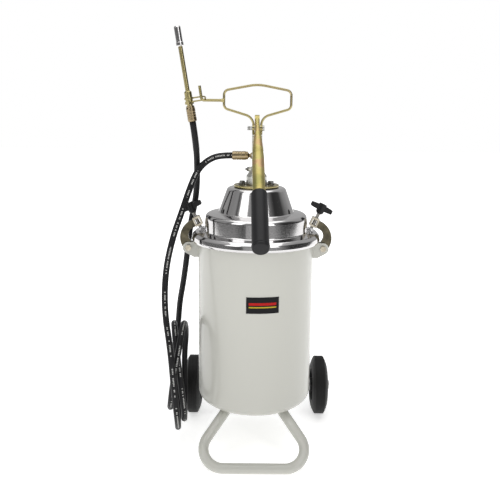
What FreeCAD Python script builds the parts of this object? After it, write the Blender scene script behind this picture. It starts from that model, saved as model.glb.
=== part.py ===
import FreeCAD
import Part
import math
import os

# Hand-lever grease pump on a wheeled drum, in millimetres, +Z up, front facing -Y.
# Everything is drawn about the drum's own axis (x = 0, y = 0) with the floor at z = 0.
# save() then moves each piece so that the origin lies on the floor under the middle of the
# machine, midway between its wheels.

V = FreeCAD.Vector
X, Y, Z = V(1, 0, 0), V(0, 1, 0), V(0, 0, 1)

# driving dimensions
axle_shift = 7.0             # the axle has slid a little to the right in its plates
drum_axis_x = -axle_shift    # drum axis seen from the origin
drum_axis_y = 53.27
drum_r = 125.0
drum_wall = 2.0
drum_bottom_z = 105.0
drum_rim_z = 478.0
drum_corner_r = 22.0

lid_top_z = 582.0
lid_sheet = 1.6
lid_hole_r = 15.9

wheel_r = 71.0
wheel_half = 21.0           # half the length of the hub
wheel_x = 155.0
axle_y = 137.0
axle_r = 8.0
tyre_bore_r = 45.0
running_gap = 0.05

foot_tube_r = 11.0
foot_bar_y = -160.0
foot_slope = math.radians(44.5)

flange_z = lid_top_z + 1.0
flange_top_z = flange_z + 4.5
flange_r = 48.0
flange_bolt_circle_r = 30.5
pump_tube_r = 15.5
pump_bore_r = 13.0

rod_r = 5.0
head_top_z = 664.0
outlet_z = 648.0
outlet_end_x = -52.0

pin_y = -20.0
pin_z = 706.0
pin_r = 4.0
lever_drop = math.radians(34.0)
lever_tail = 24.1
lever_length = 346.0
lever_r = 12.0
lever_flat = 9.5
lever_depth = 30.0
lever_yaw = 1.0             # degrees, slack in the fork lets the grip lean to the right

handle_rod_r = 2.5
leg_x = 8.1
split_x = -17.0
peg_r = 2.9

clamp_pivot_x = 146.0
clamp_pivot_z = 449.5
clamp_bolt_r = 4.0
clamp_arm_half = 4.5
screw_foot_x = 118.3
screw_foot_z = 490.0
screw_lean = math.radians(25.2)

hose_r = 6.7
nipple_r = 3.25             # head of the grease nipple the coupler grips
mouth_r = 4.6
nozzle_lean = math.radians(9.07)
nozzle_base = V(-133.8, -20.0, 718.5)

# hose route, from the pump's outlet to the nozzle: corners of the centre line
hose_route = [
    (-52, 0, 648), (-79, 0, 648), (-103, -4, 638.5), (-124, -12, 619), (-140, -23, 582),
    (-155, -36, 536), (-175, -47, 480), (-190, -62, 410), (-191, -82, 330),
    (-176, -109, 250), (-168, -125, 166), (-161, -118, 85), (-170, -42, 42),
    (-175, 34, 70), (-175, 46, 142), (-184, 56, 237), (-180, -8, 287), (-168, -77, 246),
    (-159, -82, 170), (-151, -84, 99), (-156, -38, 56), (-160, 20, 62), (-162, 56, 108),
    (-164, 60, 172), (-157, 50, 242), (-156, -22, 291), (-160, -97, 250),
    (-172, -100, 182), (-181, -90, 116), (-188, -22, 82), (-189, 46, 112), (-190, 72, 180),
    (-180, 86, 240), (-175, 78, 300), (-164, 60, 354), (-154, 48, 420), (-146, 38, 488),
    (-131, 35, 556), (-127, 14, 617), (-126.7, -20, 674), (-133.8, -20, 718.5),
]


# shape helpers
def solid_of(shape):
    """The shape with coplanar leftovers merged."""
    return shape.removeSplitter()


def fuse(*shapes):
    """One solid from overlapping pieces."""
    whole = shapes[0]
    for shape in shapes[1:]:
        whole = whole.fuse(shape)
    return solid_of(whole)


def cut(shape, *tools):
    """The shape less each tool."""
    for tool in tools:
        shape = shape.cut(tool)
    return shape


def rod(r, start, end):
    """A cylinder of radius r between two points."""
    return Part.makeCylinder(r, (end - start).Length, start, end - start)


def cone(r1, r2, start, end):
    """A cone from radius r1 at start to r2 at end."""
    return Part.makeCone(r1, r2, (end - start).Length, start, end - start)


def block(x0, x1, y0, y1, z0, z1):
    """A box between two corners."""
    return Part.makeBox(x1 - x0, y1 - y0, z1 - z0, V(x0, y0, z0))


def prism_hex(flats, start, end, turn=0.0):
    """A hexagonal bar of the given width across flats between two points."""
    axis = end - start
    axis.normalize()
    side = axis.cross(Z if abs(axis.z) < 0.9 else X)
    side.normalize()
    other = axis.cross(side)
    reach = flats / math.sqrt(3.0)
    corners = []
    for k in range(7):
        a = math.radians(60.0 * k + turn)
        corners.append(start + side * (reach * math.cos(a)) + other * (reach * math.sin(a)))
    return Part.Face(Part.makePolygon(corners)).extrude(end - start)


def rounded_edges(points, radii, closed=False):
    """Straight runs through the points, joined by tangent arcs of the given radii."""
    n = len(points)
    joints = []
    for i, p in enumerate(points):
        r = radii[i]
        if r == 0 or (not closed and i in (0, n - 1)):
            joints.append((p, None, p))
            continue
        back = (points[i - 1] - p).normalize()
        ahead = (points[(i + 1) % n] - p).normalize()
        half = back.getAngle(ahead) / 2.0
        reach = r / math.tan(half)
        bisector = (back + ahead).normalize()
        middle = p + bisector * (r / math.sin(half) - r)
        joints.append((p + back * reach, middle, p + ahead * reach))
    edges = []
    for i, (enter, middle, leave) in enumerate(joints):
        if middle is not None:
            edges.append(Part.Arc(enter, middle, leave).toShape())
        if i < n - 1 or closed:
            following = joints[(i + 1) % n][0]
            if (following - leave).Length > 1e-6:
                edges.append(Part.LineSegment(leave, following).toShape())
    return edges


def turned(profile, radii=None):
    """A solid turned about Z from a closed outline of (radius, height) points."""
    points = [V(r, 0, z) for r, z in profile]
    edges = rounded_edges(points, radii or [0] * len(points), closed=True)
    return Part.Face(Part.Wire(edges)).revolve(V(0, 0, 0), Z, 360)


def plate_xz(outline, radii, y0, y1):
    """A flat plate from a closed outline of (x, z) points, between two y values."""
    points = [V(x, y0, z) for x, z in outline]
    face = Part.Face(Part.Wire(rounded_edges(points, radii, closed=True)))
    return face.extrude(V(0, y1 - y0, 0))


def plate_yz(outline, radii, x0, x1):
    """A flat plate from a closed outline of (y, z) points, between two x values."""
    points = [V(x0, y, z) for y, z in outline]
    face = Part.Face(Part.Wire(rounded_edges(points, radii, closed=True)))
    return face.extrude(V(x1 - x0, 0, 0))


def bent_rod(points, radii, r, closed=False):
    """A round bar of radius r along a rounded path."""
    path = Part.Wire(rounded_edges(points, radii, closed))
    first = path.Edges[0]
    start = first.valueAt(first.FirstParameter)
    along = first.tangentAt(first.FirstParameter)
    ring = Part.Wire(Part.makeCircle(r, start, along))
    return path.makePipeShell([ring], True, False)


def place_on_axis(shape, origin, direction):
    """Moves a shape drawn up the Z axis to start at origin and point along direction."""
    shape = shape.copy()
    shape.Placement = FreeCAD.Placement(origin, FreeCAD.Rotation(Z, direction))
    return shape


def mirror_x(p):
    """The same point on the other side of the drum."""
    return V(-p.x, p.y, p.z)


def mirrored(shape):
    """The same piece on the other side of the drum."""
    return shape.mirror(V(0, 0, 0), X)


def both_sides(shape):
    """The piece and its mirror image as two separate solids."""
    return Part.makeCompound([shape, mirrored(shape)])


def save(name, shape):
    """Writes one node, moved from the drum's axis to the machine's origin."""
    shape = shape.copy()
    shape.translate(V(drum_axis_x, drum_axis_y, 0))
    shape.exportStep("parts/" + name + ".step")


# drum, lid and stand
def drum():
    """Deep-drawn drum: rounded bottom corner, straight wall, outward rolled rim."""
    inner = drum_r - drum_wall
    shell = turned(
        [(0, drum_bottom_z), (drum_r, drum_bottom_z), (drum_r, drum_rim_z),
         (inner, drum_rim_z), (inner, drum_bottom_z + drum_wall),
         (0, drum_bottom_z + drum_wall)],
        [0, drum_corner_r, 0, 0, drum_corner_r - drum_wall, 0])
    roll = Part.makeTorus(drum_r + 2.5, 3.4, V(0, 0, drum_rim_z - 3.4), Z)
    roll = cut(roll, Part.makeCylinder(inner, drum_rim_z))
    return fuse(shell, roll)


def label():
    """Blank plate on the drum's front, slightly right of centre."""
    outer = Part.makeCylinder(drum_r + 0.5, 34.5, V(0, 0, 338.0))
    ring = cut(outer, Part.makeCylinder(drum_r, 34.5, V(0, 0, 338.0)))
    return ring.common(block(-19.5, 47.5, -drum_r - 2, 0, 330.0, 380.0))


def lid_gasket():
    return turned([(121.5, drum_rim_z), (131.0, drum_rim_z), (131.0, 482.8), (121.5, 482.8)],
                  [1.2, 1.2, 1.2, 1.2])


def lid():
    """Stepped pressed dome: skirt, ledge, lower step, upper cone and flat top."""
    outer = [(133.2, 466.5), (136.4, 466.5), (138.4, 471.0), (137.0, 480.0), (131.5, 485.8),
             (111.5, 488.3), (109.3, 524.5), (81.0, 528.5), (61.5, lid_top_z),
             (lid_hole_r, lid_top_z)]
    t = lid_sheet
    inner = [(lid_hole_r, lid_top_z - t), (60.3, lid_top_z - t), (79.6, 527.0), (107.8, 523.0),
             (109.8, 482.9), (133.2, 482.9)]
    radii = [0, 1.0, 3.0, 5.0, 4.0, 2.5, 10.0, 4.0, 10.0, 0, 0, 8.4, 5.0, 8.4, 0, 2.0]
    return turned(outer + inner, radii)


def stand_foot():
    """One tube bent to a loop: two legs up to the drum and a bar on the floor."""
    along = V(0, math.cos(foot_slope), math.sin(foot_slope))
    base = V(0, foot_bar_y, foot_tube_r)

    def at(x, t):
        return base + V(x, 0, 0) + along * t

    leg_end = at(47.0, 140.0)
    corner = at(141.8, 0.0)
    points = [mirror_x(leg_end), mirror_x(corner), corner, leg_end]
    tube = bent_rod(points, [0, 41.8, 41.8, 0], foot_tube_r)
    return cut(tube, block(-200, 200, -200, 200, drum_bottom_z, 300))


def axle_brackets():
    """Two plates under the drum that carry the axle."""
    outline = [(18, drum_bottom_z), (74, drum_bottom_z), (104, 104), (150, 80), (150, 58), (124, 58)]
    points = [V(67, y, z) for y, z in outline]
    edges = rounded_edges(points, [0, 0, 6, 9, 9, 9], closed=True)
    plate = Part.Face(Part.Wire(edges)).extrude(V(6, 0, 0))
    plate = cut(plate, rod(axle_r, V(60, axle_y, wheel_r), V(80, axle_y, wheel_r)))
    return both_sides(plate)


def shifted(shape):
    """The shape moved along with the axle."""
    shape.translate(V(axle_shift, 0, 0))
    return shape


def axle():
    end = wheel_x + wheel_half + 1.5
    return rod(axle_r, V(axle_shift - end, axle_y, wheel_r), V(axle_shift + end, axle_y, wheel_r))


def axle_washers():
    """A washer inboard of each wheel."""
    x = wheel_x - wheel_half
    washer = rod(14.0, V(x - 2.8, 0, 0), V(x - 0.4, 0, 0))
    washer = cut(washer, rod(axle_r, V(x - 4, 0, 0), V(x, 0, 0)))
    washer.translate(V(0, axle_y, wheel_r))
    return shifted(both_sides(washer))


def axle_caps():
    """Pressed dome cap over each end of the axle."""
    inner = wheel_half + 0.4
    cap = turned([(axle_r, inner), (13.0, inner), (12.0, inner + 4.5), (0, inner + 6.5),
                  (0, inner + 1.1), (axle_r, inner + 1.1)], [0, 1.0, 2.5, 0, 0, 0])
    cap = place_on_axis(cap, V(wheel_x, axle_y, wheel_r), X)
    return shifted(both_sides(cap))


def tyre():
    """Solid rubber tyre with a flat tread and swelling sides, drawn up the Z axis."""
    half = [(tyre_bore_r, 18.4), (48.0, 19.6), (58.5, 16.8), (67.5, 12.8), (wheel_r, 10.4)]
    profile = half + [(r, -z) for r, z in reversed(half)]
    radii = [0, 2, 8, 5, 1.5, 1.5, 5, 8, 2, 0]
    return turned(profile, radii)


def hub():
    """Moulded hub: bearing boss, web, six ribs and the rim that carries the tyre."""
    boss = Part.makeCylinder(17.0, 2 * wheel_half, V(0, 0, -wheel_half))
    web = Part.makeCylinder(42.0, 8.0, V(0, 0, -4.0))
    rim_foot = V(0, 0, -17.4)
    rim = Part.makeCylinder(tyre_bore_r, 34.8, rim_foot)
    rim = cut(rim, Part.makeCylinder(tyre_bore_r - 5.5, 34.8, rim_foot))
    whole = fuse(boss, web, rim)
    for k in range(6):
        rib = block(14.0, 41.0, -2.2, 2.2, -13.0, 13.0)
        rib.rotate(V(0, 0, 0), Z, 60.0 * k)
        whole = whole.fuse(rib)
    whole = solid_of(whole)
    bore = Part.makeCylinder(axle_r + running_gap, 2 * wheel_half + 2, V(0, 0, -wheel_half - 1))
    return cut(whole, bore)


# pump
def flange_gasket():
    ring = Part.makeCylinder(flange_r - 1.5, flange_z - lid_top_z, V(0, 0, lid_top_z))
    return cut(ring, Part.makeCylinder(lid_hole_r, 3, V(0, 0, lid_top_z - 1)))


def pump_flange():
    plate = turned([(pump_tube_r, flange_z), (flange_r, flange_z), (flange_r, flange_top_z),
                    (pump_tube_r, flange_top_z)], [0, 0.6, 1.2, 0])
    return plate


def bolt_places():
    return [V(flange_bolt_circle_r * math.cos(a), flange_bolt_circle_r * math.sin(a), flange_top_z)
            for a in (math.radians(90.0 * k) for k in range(4))]


def flange_bolts():
    """Four hexagon bolts with washers on the flange."""
    bolts = []
    for place in bolt_places():
        washer = Part.makeCylinder(8.0, 1.4, place)
        head = prism_hex(12.0, place + V(0, 0, 1.4), place + V(0, 0, 7.4))
        crown = Part.makeCone(6.9, 4.9, 1.8, place + V(0, 0, 6.2))
        head = head.common(fuse(Part.makeCylinder(7.0, 4.8, place + V(0, 0, 1.4)), crown))
        bolts.append(fuse(washer, head))
    return Part.makeCompound(bolts)


def pump_head():
    """Cast head: foot, cone, neck and the fork that carries the lever's fulcrum."""
    outer = turned([(0, flange_top_z), (22.0, flange_top_z), (22.0, 605.0), (10.2, 624.0),
                    (10.2, head_top_z), (0, head_top_z)], [0, 1.0, 3.0, 6.0, 0, 0])
    bridge = plate_yz([(-28, 652), (10.2, 652), (10.2, head_top_z), (-28, head_top_z)],
                      [4, 0, 2, 2], -10.3, 10.3)
    cheek = plate_yz([(-28, 652), (8, 652), (6, 694), (-28, 694)], [4, 0, 5, 5], 5.7, 10.3)
    seat = rod(5.4, V(-16.8, 0, 619.5), V(0, 0, 619.5))
    whole = fuse(outer, bridge, cheek, mirrored(cheek), seat)
    chamber = Part.makeCylinder(7.0, 655.0 - flange_top_z, V(0, 0, flange_top_z))
    gland_bore = Part.makeCylinder(7.0, 4.0, V(0, 0, 655.0))
    guide = Part.makeCylinder(rod_r + running_gap, 10.0, V(0, 0, 656.0))
    port = rod(3.0, V(-14.0, 0, outlet_z), V(0, 0, outlet_z))
    return cut(whole, chamber, gland_bore, guide, port)


def rod_seal():
    ring = Part.makeCylinder(7.0, 4.0, V(0, 0, 655.0))
    return cut(ring, Part.makeCylinder(rod_r + running_gap, 4.0, V(0, 0, 655.0)))


def bleed_screw():
    """Air-bleed screw on the head's left, with a hexagon and a nipple."""
    hexagon = prism_hex(9.0, V(-20.6, 0, 619.5), V(-16.8, 0, 619.5))
    nipple = rod(2.6, V(-24.2, 0, 619.5), V(-20.6, 0, 619.5))
    return fuse(hexagon, nipple)


def pump_tube():
    """Barrel of the pump, from the flange down to just above the drum's bottom."""
    tube = Part.makeCylinder(pump_tube_r, flange_top_z - 118.0, V(0, 0, 118.0))
    return cut(tube, Part.makeCylinder(pump_bore_r, 500.0, V(0, 0, 117.0)))


def foot_valve_seat():
    """Seat pressed into the foot of the pump tube."""
    seat = Part.makeCylinder(pump_bore_r, 8.0, V(0, 0, 119.0))
    seat = cut(seat, Part.makeCylinder(4.0, 10.0, V(0, 0, 118.0)))
    return cut(seat, cone(4.0, 7.0, V(0, 0, 124.0), V(0, 0, 127.5)))


def foot_valve_ball():
    return Part.makeSphere(6.0, V(0, 0, 131.3))


def piston():
    body = turned([(0, 182.0), (12.4, 182.0), (12.4, 198.0), (rod_r, 198.0), (rod_r, 204.0),
                   (0, 204.0)], [0, 1.5, 0, 0, 0, 0])
    foot = V(0, 0, 187.0)
    groove = cut(Part.makeCylinder(13.0, 6.0, foot), Part.makeCylinder(10.0, 6.0, foot))
    return cut(body, groove)


def piston_seal():
    ring = Part.makeCylinder(pump_bore_r - running_gap, 6.0, V(0, 0, 187.0))
    return cut(ring, Part.makeCylinder(10.0, 6.0, V(0, 0, 187.0)))


def piston_rod():
    """Rod with a flat shank and a slotted eye that rides in the lever's fork."""
    eye_z = pin_z + lever_tail * math.sin(lever_drop)
    bar = Part.makeCylinder(rod_r, eye_z - 24.0 - 204.0, V(0, 0, 204.0))
    shank = block(-2.0, 2.0, -4.6, 4.6, eye_z - 26.0, eye_z)
    slot_half = 3.7
    eye = slot_plate(slot_half + 3.0, eye_z, 2.0)
    slot = slot_plate(slot_half, eye_z, 3.0)
    return cut(fuse(bar, shank, eye), slot)


def slot_plate(r, z, half):
    """A stadium in the y-z plane, as thick as twice half, around the drive pin's travel."""
    front, back = -0.9, 4.5
    ends = [rod(r, V(-half, y, z), V(half, y, z)) for y in (front, back)]
    return fuse(ends[0], ends[1], block(-half, half, front, back, z - r, z + r))


def outlet_fitting():
    """Swivel between the head and the hose ferrule: a hexagon, a slim neck and a flare."""
    hexagon = prism_hex(13.0, V(-13.6, 0, outlet_z), V(-10.5, 0, outlet_z))
    neck = rod(3.9, V(-16.5, 0, outlet_z), V(-13.0, 0, outlet_z))
    flare = cone(7.4, 3.9, V(-18.6, 0, outlet_z), V(-16.0, 0, outlet_z))
    whole = fuse(hexagon, neck, flare)
    return cut(whole, rod(2.0, V(-20, 0, outlet_z), V(-8, 0, outlet_z)))


# lever and handle
lever_dir = V(0, -math.cos(lever_drop), -math.sin(lever_drop))
lever_up = V(0, -math.sin(lever_drop), math.cos(lever_drop))
fulcrum = V(0, pin_y, pin_z)


def on_lever(s, rise=0.0, x=0.0):
    """A point s along the lever from the fulcrum, and rise above its axis."""
    return fulcrum + lever_dir * s + lever_up * rise + V(x, 0, 0)


def lever_section(s, thick, depth):
    """Stadium-shaped section of the flattened tube: flat sides, round top and bottom."""
    r = thick / 2.0
    top = depth / 2.0 - r
    return Part.Wire([
        Part.LineSegment(on_lever(s, -top, r), on_lever(s, top, r)).toShape(),
        Part.Arc(on_lever(s, top, r), on_lever(s, top + r, 0), on_lever(s, top, -r)).toShape(),
        Part.LineSegment(on_lever(s, top, -r), on_lever(s, -top, -r)).toShape(),
        Part.Arc(on_lever(s, -top, -r), on_lever(s, -top - r, 0), on_lever(s, -top, r)).toShape(),
    ])


def lever():
    """Tube flattened towards the fulcrum, forked at its tail for the piston rod."""
    flat_end, mid, round_start = 16.0, 50.0, 96.0
    tail_centre = -21.0
    tail = rod(lever_depth / 2, on_lever(tail_centre, 0, -lever_flat / 2),
               on_lever(tail_centre, 0, lever_flat / 2))
    flat = Part.Face(lever_section(tail_centre, lever_flat, lever_depth)).extrude(
        lever_dir * (flat_end - tail_centre))
    tail = tail.common(block(-lever_flat / 2, lever_flat / 2, -100, 100, 600, 800))
    swell = Part.makeLoft([lever_section(flat_end, lever_flat, lever_depth),
                           lever_section(mid, 17.5, 27.4),
                           lever_section(round_start, 2 * lever_r - 0.6, 2 * lever_r - 0.1)],
                          True, False)
    tube = rod(lever_r, on_lever(round_start), on_lever(lever_length - 4.0))
    whole = fuse(tail, flat, swell, tube)
    hollow = rod(lever_r - 2.0, on_lever(round_start + 4.0), on_lever(lever_length))
    whole = yawed(cut(whole, hollow, rod_pocket()))
    return cut(whole, cross_hole(0.0, pin_r + running_gap), cross_hole(-lever_tail, 3.0))


def rod_pocket():
    """Space inside the tail for the rod's eye, open below for the shank's whole sweep."""
    half, reach, mouth, drop = 3.0, 12.1, 8.0, 45.0
    at_pin = -lever_tail
    outline = [on_lever(at_pin - mouth, 0, -half), on_lever(at_pin + mouth, 0, -half),
               on_lever(at_pin + mouth + 0.75 * drop, -drop, -half),
               on_lever(at_pin - mouth - 0.80 * drop, -drop, -half),
               on_lever(at_pin - mouth, 0, -half)]
    wedge = Part.Face(Part.makePolygon(outline)).extrude(V(2 * half, 0, 0))
    return wedge.fuse(rod(reach, on_lever(at_pin, 0, -half), on_lever(at_pin, 0, half)))


def yawed(shape):
    """The piece turned about the upright through the fulcrum."""
    shape = shape.copy()
    shape.rotate(fulcrum, Z, lever_yaw)
    return shape


def cross_hole(s, r):
    """A hole through the lever's flat, square to the machine's middle plane."""
    return rod(r, on_lever(s, 0, -20.0), on_lever(s, 0, 20.0))


def drive_pin():
    """Flush pin that carries the piston rod's eye."""
    half = lever_flat / 2 - 0.1
    shift = -lever_tail * math.cos(lever_drop) * math.sin(math.radians(lever_yaw))
    return rod(3.0, on_lever(-lever_tail, 0, shift - half), on_lever(-lever_tail, 0, shift + half))


def lever_grip():
    """Rubber sleeve with a slight swell and a closed, domed end."""
    start, end = 203.0, lever_length
    length = end - start
    sleeve = turned([(lever_r, 0), (15.6, 0), (15.6, length), (0, length), (0, length - 3.6),
                     (lever_r, length - 3.6)], [0, 3.0, 2.6, 0, 0, 0])
    lip = Part.makeTorus(15.3, 1.1, V(0, 0, length - 7.0), Z)
    sleeve = fuse(sleeve, lip)
    return yawed(place_on_axis(sleeve, on_lever(start), lever_dir))


def loop_handle():
    """Wire carrying loop whose legs hold the fulcrum, with a hose rest on its left."""
    y = pin_y
    right = [(leg_x, 694.0), (leg_x, 728.0), (69.0, 746.0), (69.0, 781.5)]
    points = [V(-x, y, z) for x, z in right] + [V(0, y, 794.5)]
    points += [V(x, y, z) for x, z in reversed(right)]
    radii = [0, 22.0, 10.0, 11.0, 90.0, 11.0, 10.0, 22.0, 0]
    loop = bent_rod(points, radii, handle_rod_r)
    eyes = [rod(7.0, V(s * 5.6, y, pin_z), V(s * 10.6, y, pin_z)) for s in (-1, 1)]
    holes = [rod(pin_r, V(s * 4.0, y, pin_z), V(s * 12.0, y, pin_z)) for s in (-1, 1)]
    arm_points = [V(-68.0, y, 761.5), V(-114.8, y, 761.5), V(-119.3, y, 790.5)]
    arm = bent_rod(arm_points, [0, 6.0, 0], peg_r)
    weld = cone(5.0, 3.0, V(-69.0, y, 761.5), V(-75.5, y, 761.5))
    return cut(fuse(loop, eyes[0], eyes[1], arm, weld), *holes)


def fulcrum_pin():
    """Headed pin: head on the right, cross hole for the split pin on the left."""
    shank = rod(pin_r, V(-20.5, pin_y, pin_z), V(10.8, pin_y, pin_z))
    head = rod(5.6, V(10.8, pin_y, pin_z), V(14.8, pin_y, pin_z))
    hole = rod(1.1, V(split_x, pin_y - 6, pin_z), V(split_x, pin_y + 6, pin_z))
    return cut(fuse(shank, head), hole)


def split_pin():
    """Wire through the pin's hole, with its eye in front."""
    points = [V(split_x, pin_y + 8.0, pin_z), V(split_x, pin_y - 6.0, pin_z),
              V(split_x, pin_y - 9.0, pin_z + 3.6), V(split_x, pin_y - 13.5, pin_z + 1.0),
              V(split_x, pin_y - 11.5, pin_z - 3.0)]
    return bent_rod(points, [0, 1.6, 2.4, 2.4, 0], 1.0)


# side clamps (drawn on the right, mirrored for the left)
screw_dir = V(math.sin(screw_lean), 0, math.cos(screw_lean))
screw_side = V(math.cos(screw_lean), 0, -math.sin(screw_lean))
screw_base = V(screw_foot_x, 0, screw_foot_z)


def on_screw(t, side=0.0, y=0.0):
    """A point t up the clamp screw from its foot, and side outwards from its axis."""
    return screw_base + screw_dir * t + screw_side * side + V(0, y, 0)


def screw_bar(t0, t1, side0, side1, half):
    """A square bar in the clamp screw's own directions."""
    corners = [on_screw(t0, side0, -half), on_screw(t0, side1, -half), on_screw(t1, side1, -half),
               on_screw(t1, side0, -half), on_screw(t0, side0, -half)]
    return Part.Face(Part.makePolygon(corners)).extrude(V(0, 2 * half, 0))


def clamp_lug():
    """Two welded ears that carry the clamp's pivot."""
    outline = [(118, 461.5), (150, 461.5), (158, 455), (158, 444), (151, 437.5),
               (134, 428.5), (118, 429)]
    ears = []
    for y0, y1 in ((-9.2, -5.0), (5.0, 9.2)):
        ear = plate_xz(outline, [0, 8, 8, 8, 6, 3, 0], y0, y1)
        start = V(clamp_pivot_x, y0 - 1, clamp_pivot_z)
        hole = Part.makeCylinder(clamp_bolt_r, y1 - y0 + 2, start, Y)
        ears.append(cut(ear, hole, Part.makeCylinder(drum_r, 600.0)))
    return ears


def clamp_lugs():
    ears = clamp_lug()
    return Part.makeCompound(ears + [mirrored(ear) for ear in ears])


def clamp_pivot_bolts():
    """Pivot bolt of each clamp: hexagon head in front, nut behind."""
    def at(y):
        return V(clamp_pivot_x, y, clamp_pivot_z)

    bolt = fuse(rod(clamp_bolt_r, at(-9.4), at(14.5)), prism_hex(12.0, at(-13.4), at(-9.2)),
                prism_hex(12.0, at(9.2), at(13.6)))
    return both_sides(bolt)


def clamp_arm():
    """Flat crescent arm from the pivot up to the screw housing."""
    y0, thick = -clamp_arm_half, 2 * clamp_arm_half

    def p(x, z):
        return V(x, y0, z)

    outline = Part.Wire([
        Part.Arc(p(155.5, 446.0), p(164.0, 474.0), p(143.0, 506.5)).toShape(),
        Part.LineSegment(p(143.0, 506.5), on_screw(25.5, 8.0, y0)).toShape(),
        Part.LineSegment(on_screw(25.5, 8.0, y0), on_screw(10.0, 8.0, y0)).toShape(),
        Part.LineSegment(on_screw(10.0, 8.0, y0), p(136.5, 492.0)).toShape(),
        Part.Arc(p(136.5, 492.0), p(146.0, 477.5), p(141.8, 464.5)).toShape(),
        Part.LineSegment(p(141.8, 464.5), p(138.5, 455.0)).toShape(),
        Part.LineSegment(p(138.5, 455.0), p(155.5, 446.0)).toShape(),
    ])
    web = Part.Face(outline).extrude(V(0, thick, 0))
    pivot = V(clamp_pivot_x, y0, clamp_pivot_z)
    disc = Part.makeCylinder(9.6, thick, pivot, Y)
    hole = Part.makeCylinder(clamp_bolt_r + running_gap, thick + 2, pivot - Y, Y)
    return cut(fuse(web, disc), hole)


def screw_housing():
    """Nickelled yoke on the arm's end: threaded at both ends, open in the middle."""
    body = screw_bar(8.4, 29.0, -8.6, 8.0, 7.0)
    edges = [e for e in body.Edges if abs(abs(e.tangentAt(e.FirstParameter).y) - 1) < 1e-6]
    body = body.makeFillet(1.6, edges)
    window = screw_bar(12.4, 24.6, -5.6, 5.6, 10.0)
    bore = rod(4.05, on_screw(5.0), on_screw(40.0))
    return cut(body, window, bore)


def clamp_pad():
    """Swivel pad that presses on the lid's ledge."""
    disc = Part.makeCylinder(6.0, 3.2, V(screw_foot_x, 0, 488.6))
    socket = rod(3.4, on_screw(0.5), on_screw(4.6))
    return fuse(disc, socket)


def clamp_screw():
    return rod(4.0, on_screw(4.8), on_screw(44.0))


def clamp_knob():
    """Two-winged moulded knob with a round hub."""
    socket = rod(4.0, on_screw(39.0), on_screw(44.0))
    hub_body = cut(rod(8.6, on_screw(42.5), on_screw(62.0)), socket)
    collar = cut(rod(6.6, on_screw(39.5), on_screw(43.0)), socket)
    half = 6.2
    outline = [on_screw(48.5, -25.0, -half), on_screw(47.0, 0, -half), on_screw(48.5, 25.0, -half),
               on_screw(57.5, 25.0, -half), on_screw(60.0, 0, -half), on_screw(57.5, -25.0, -half)]
    wing_face = Part.Face(Part.Wire(rounded_edges(outline, [3, 6, 3, 3, 10, 3], closed=True)))
    wings = wing_face.extrude(V(0, 2 * half, 0))
    envelope = rod(25.0, on_screw(40.0), on_screw(66.0))
    return fuse(hub_body, collar, wings.common(envelope))


# follower plate inside the drum
def follower_plate():
    return turned([(16.3, 131.0), (118.0, 131.0), (118.0, 134.0), (24.0, 134.0), (24.0, 142.0),
                   (16.3, 142.0)], [0, 0, 0, 2, 1, 0])


def follower_seal():
    return turned([(112.0, 134.0), (118.0, 134.0), (121.8, 140.0), (121.8, 143.0), (112.0, 137.0)],
                  [0, 0, 0, 0.8, 0])


# hose and nozzle
def hose():
    """Delivery hose: straight runs and tangent arcs, each as large as its two runs allow."""
    points = [V(*p) for p in hose_route]
    radii = [0.0]
    for before, here, after in zip(points, points[1:], points[2:]):
        shorter = min((here - before).Length, (after - here).Length)
        turn = (here - before).getAngle(after - here)
        radii.append(0.45 * shorter / math.tan(turn / 2.0))
    radii.append(0.0)
    path = Part.Wire(rounded_edges(points, radii))
    ring = Part.Wire(Part.makeCircle(hose_r, points[0], points[1] - points[0]))
    tube = path.makePipeShell([ring], True, False)
    section = math.pi * hose_r ** 2
    print("hose length %.0f, smallest radius %.0f" % (path.Length, min(radii[1:-1])))
    print("hose radii", [round(r) for r in radii[1:-1]])
    print("hose volume over section times length %.4f" % (tube.Volume / (section * path.Length)))
    return tube


def ferrule(length):
    """Crimped steel sleeve drawn up the Z axis, hose at its bottom."""
    sleeve = turned([(0, 0), (9.0, 0), (9.3, 3.0), (9.3, length - 6.0), (8.6, length - 3.0),
                     (8.6, length), (0, length)], [0, 0.6, 0.8, 0.8, 0.8, 0.6, 0])
    for z in (9.0, 14.0, 19.0):
        groove = Part.makeTorus(10.2, 1.3, V(0, 0, z), Z)
        sleeve = sleeve.cut(groove)
    return sleeve


nozzle_dir = V(-math.sin(nozzle_lean), 0, math.cos(nozzle_lean))


def on_nozzle(shape):
    """A piece drawn up the Z axis, placed on the nozzle's axis."""
    return place_on_axis(shape, nozzle_base, nozzle_dir)


def hose_ferrule_pump():
    return place_on_axis(ferrule(33.4), V(outlet_end_x, 0, outlet_z), X)


def nozzle_adapter():
    """Neck, hexagon and round body between the hose ferrule and the rigid tube."""
    neck = Part.makeCylinder(6.2, 4.0, V(0, 0, 31.5))
    hexagon = prism_hex(17.5, V(0, 0, 35.0), V(0, 0, 40.5))
    body = turned([(0, 40.0), (7.6, 40.0), (7.6, 59.5), (5.2, 62.0), (0, 62.0)], [0, 0, 1.5, 0.8, 0])
    return on_nozzle(fuse(neck, hexagon, body))


def hanger_ring():
    """Wire eye on the adapter's side, hooked over the handle's peg and resting on its arm."""
    y = pin_y
    reach, half = 27.5, 9.0
    points = [V(0, -half, 0), V(reach, -half, 0), V(reach, half, 0), V(0, half, 0)]
    loop = bent_rod(points, [0, 8.0, 8.0, 0], 1.6)
    loop.rotate(V(0, 0, 0), X, 24.0)
    loop.rotate(V(0, 0, 0), Y, -math.degrees(nozzle_lean))
    loop.translate(V(-134.5, y, 762.0))
    collar = turned([(7.6, 44.5), (9.4, 44.5), (9.4, 48.5), (7.6, 48.5)], [0, 0.8, 0.8, 0])
    collar = on_nozzle(collar)
    keep = cut(loop, on_nozzle(Part.makeCylinder(7.6, 60.0, V(0, 0, 20.0))))
    return fuse(collar, keep)


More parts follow.
